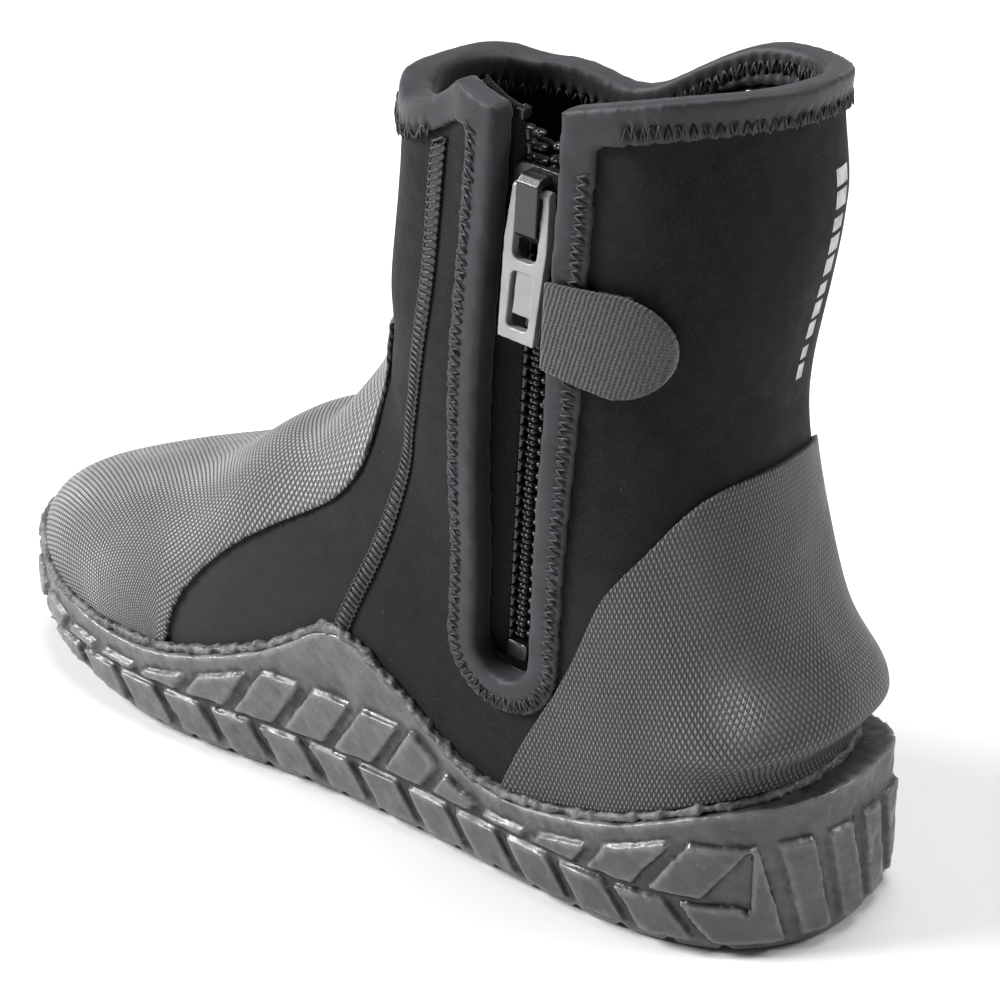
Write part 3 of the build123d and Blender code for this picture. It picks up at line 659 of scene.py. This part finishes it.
# ---- flat seams down the front, each a band with thread rungs across it ----
seam_thread = ([], [])
for medial, node in ((True, "seam_cover_medial"), (False, "seam_cover_lateral")):
    band = from_nodes(node + "_band", [node], 0.5, 3)
    line, normals = side_line(surface(shell), FRONT_SEAM, medial, 52, 201)
    pucker(band, line, SEAM_PITCH, 0.15, 2.6, 0.0)
    stitches(line, normals, 4.7, SEAM_PITCH, 0.42, seam_thread, ladder=True, lift=0.75)
    for side in (-1, 1):
        edge = line + side * SEAM_HALF * across_line(line, normals)
        stitches(edge, normals, 0.9, SEAM_PITCH, 0.28, seam_thread, lift=0.35)
    dress(band, THREAD)
dress(from_faces("front_seam_thread", *seam_thread), THREAD)


# ---- zip: tapes and moulded teeth ----
def chain_spread(y):
    parting = SPLIT * np.clip((y - SLIDER_AT + 5) / 8, 0, 1)
    return parting + 2.2 * np.clip((y - SLIDER_AT - 11) / 12, 0, 1)


def zip_flat(p):
    x, y, _ = zip_coords(p)
    return np.stack([x, y], 1)


for node, finish in (("zip_tape_front", LOOP_TAPE), ("zip_tape_rear", TAPE)):
    tape = from_nodes(node + "_woven", [node], 0.45, 2)
    put_uv(tape, zip_flat)
    dress(tape, finish)


def tooth_mesh():
    """One moulded tooth, head toward +x: a waisted body with a rounded head and two feet on the cord."""
    bm = bmesh.new()
    for x, across, high in ((-1.5, 1.5, 3.3), (0.7, 1.05, 2.9), (1.9, 1.45, 2.7)):
        made = bmesh.ops.create_uvsphere(bm, u_segments=10, v_segments=7, radius=0.5)
        bmesh.ops.scale(bm, vec=(2.5, across * 1.25, high * 1.1), verts=made["verts"])
        bmesh.ops.translate(bm, vec=(x, 0, 0), verts=made["verts"])
    points = np.array([v.co[:] for v in bm.verts])
    faces = [[v.index for v in f.verts] for f in bm.faces]
    bm.free()
    # squarer than three balls: flat where the sides and faces of the mould cut them
    points[:, 1] = np.clip(points[:, 1], -0.72, 0.72)
    points[:, 2] = np.clip(points[:, 2], -1.65, 1.65)
    return points, faces


tooth, tooth_faces = tooth_mesh()
for way, start, node in ((-1, CHAIN_LOW, "zip_teeth_front"),
                         (1, CHAIN_LOW + TOOTH_PITCH / 2, "zip_teeth_rear")):
    points, faces = [], []
    for y in np.arange(start, CHAIN_TOP, TOOTH_PITCH):
        x = way * (1.5 + chain_spread(y))
        first = len(points)
        points += list(zip_point(x - way * tooth[:, 0], y + tooth[:, 1], tooth[:, 2] - TAPE_DEPTH))
        faces += [[first + v for v in (f if way < 0 else f[::-1])] for f in tooth_faces]
    cord = np.array([(way * (CHAIN_HALF - 0.6 + chain_spread(y)), y)
                     for y in np.arange(CHAIN_LOW - 7, CHAIN_TOP + 1, 1.5)])
    tube(zip_point(cord[:, 0], cord[:, 1], np.full(len(cord), -TAPE_DEPTH)),
         np.repeat(ZIP_OUT[None], len(cord), 0), CORD_RADIUS, points, faces, sides=8)
    row = from_faces(node + "_moulded", np.array(points), faces)
    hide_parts(node)
    dress(row, TEETH)

for node, voxel in (("zip_bottom_stop", 0.35), ("zip_top_stops", 0.3)):
    dress(from_nodes(node + "_cast", [node], voxel, 3), TEETH)

# ---- slider and puller ----
dress(from_nodes("slider_body_cast", ["slider_body"], 0.26, 2), SLIDER, "slider", soft=False)
dress(from_nodes("slider_crown_cast", ["slider_crown"], 0.22, 3), SLIDER, "slider", soft=False)
dress(from_nodes("puller_cast", ["zip_pull"], 0.24, 2), PULLER, "puller", soft=False)

# ---- closure tab ----
tab = from_nodes("closure_tab_felt", ["closure_tab"], 0.5, 3)
put_uv(tab, zip_flat)
dress(tab, FELT, "tab", soft=False)
hooks = from_nodes("hook_patch_pile", ["hook_patch"], 0.45, 2)
points = get_points(hooks)
set_points(hooks, points + get_normals(hooks) * (0.12 * waves(points, 21, 1.4))[:, None])
dress(hooks, HOOKS, "tab", soft=False)
dress(from_nodes("tab_root_felt", ["tab_root"], 0.45, 3), HOOKS, soft=False)

# ---- label and plain printed blocks ----
label = from_nodes("size_label_cloth", ["size_label"], 0.4, 2)
dress(label, LABEL)
outside = surface(shell)
points, faces = [], []
for k in range(10):
    z0, tall, wide = 148 + 5.6 * k, (4.2, 3.4, 4.4)[k % 3], 2.6 + 0.5 * k + (0.6, 0.0, 0.3)[k % 3]
    grid = []
    for i in range(5):
        for j in range(9):
            z, along = z0 + tall * i / 4, -4.5 - wide * j / 8
            hit = cast(outside, (-60, along, z), (1, 0, 0))
            grid.append(hit[0] + hit[1] * 0.08 if hit else None)
    first = len(points)
    if all(g is not None for g in grid):
        points += grid
        corners = [first + i * 9 + j for i in range(4) for j in range(8)]
        faces += [(a, a + 1, a + 10, a + 9) for a in corners]
dress(from_faces("print_blocks", np.array(points), faces), PRINT)


# ---- the soft shaft sags a little: every soft piece follows the same field ----
def drape(p):
    """The shaft as the photo has it: the collar's corner in front of the zip up, its outer rim down
    and in, its back and front drawn inward, the wall in front of the zip parted from the teeth, and
    slow waves all over."""
    s, y, z = p.T
    x, up, out = zip_coords(p)
    near_zip = (1 - ramp(np.abs(x), 11, 34)) * ramp(y, 0, 25)
    top, shaft = ramp(z, 150, 215), ramp(z, 95, 160)
    inner, outer = ramp(y, -5, 30), ramp(-y, -5, 30)
    lift = top * (inner * (7.0 * bump(s, 101, 12) + 2.0 * bump(s, 46, 22))
                  + outer * (-9.2 * bump(s, 96, 19) + 2.0 * bump(s, 62, 14))
                  + 5.5 * ramp(s, 124, 139))
    edge = ramp(z, 193, 222)
    tuck = edge * (6.5 * (1 - ramp(s, 12, 52)) - 4.0 * ramp(s, 95, 122))
    inward = top * outer * (5.0 * bump(s, 92, 26) - 1.0 * bump(s, 48, 16))
    free = shaft * (1 - near_zip)
    move = np.stack([free * (0.9 * waves(p, 31, 70)) - 3.0 * top * inner * bump(s, 106, 9) + tuck,
                     free * (0.9 * waves(p, 32, 60)) + inward - 2.0 * top * inner * bump(s, 108, 10)
                     + 3.0 * edge * outer * (1 - ramp(s, 12, 52)),
                     lift + free * 0.5 * waves(p, 33, 80)], 1)
    parted = 2.6 * bump(up, -85, 48) * ramp(-x, 5.5, 10) * (1 - ramp(-x, 22, 60)) * ramp(y, 0, 20)
    return p + move - np.outer(parted, ZIP_X)


for piece in soft_pieces:
    set_points(piece, drape(get_points(piece)))


# ---- camera, light and floor ----
def lamp(name, place, aim, size, power, tint=(1, 1, 1)):
    light = bpy.data.lights.new(name, "AREA")
    light.shape, light.size, light.energy, light.color = "DISK", size, power, tint
    piece = bpy.data.objects.new(name, light)
    piece.location = place
    piece.rotation_euler = (Vector(aim) - Vector(place)).to_track_quat("-Z", "Y").to_euler()
    bpy.context.scene.collection.objects.link(piece)


camera_data = bpy.data.cameras.new("camera")
camera_data.lens, camera_data.sensor_width = 90.0, 36.0
camera = bpy.data.objects.new("camera", camera_data)
# fitted to the photo with a 90 mm lens: 26 degrees above the horizontal
camera.matrix_world = Matrix((
    (-0.78157183, 0.27927746, -0.55780784, -0.4105),
    (-0.62377714, -0.33999726, 0.70377834, 0.4852),
    (0.00689629, 0.89800110, 0.43993917, 0.3900),
    (0, 0, 0, 1),
))
bpy.context.scene.collection.objects.link(camera)
bpy.context.scene.camera = camera

lamp("key", (3.8, 3.0, 3.6), (0, 0, 0.08), 2.8, 640)
lamp("top", (-0.2, -1.0, 5.4), (0, 0, 0.08), 3.6, 240)
lamp("right", (-3.4, -2.4, 3.8), (0, 0, 0.1), 1.6, 136)

floor_mesh = bpy.data.meshes.new("floor")
floor_mesh.from_pydata([(-6, -6, 0), (6, -6, 0), (6, 6, 0), (-6, 6, 0)], [], [(0, 1, 2, 3)])
floor = add_object("floor", floor_mesh)
floor_finish = Finish("studio_floor")
floor_colour = floor_finish.mix(floor_finish.noise(400, 2), grey(0.70), grey(0.74))
floor_mesh.materials.append(floor_finish.done(floor_colour, 0.9))

world_light = bpy.data.worlds.new("studio")
world_light.use_nodes = True
world_light.node_tree.nodes["Background"].inputs[0].default_value = (1, 1, 1, 1)
world_light.node_tree.nodes["Background"].inputs[1].default_value = 0.12
bpy.context.scene.world = world_light
bpy.context.scene.view_settings.view_transform = "Standard"
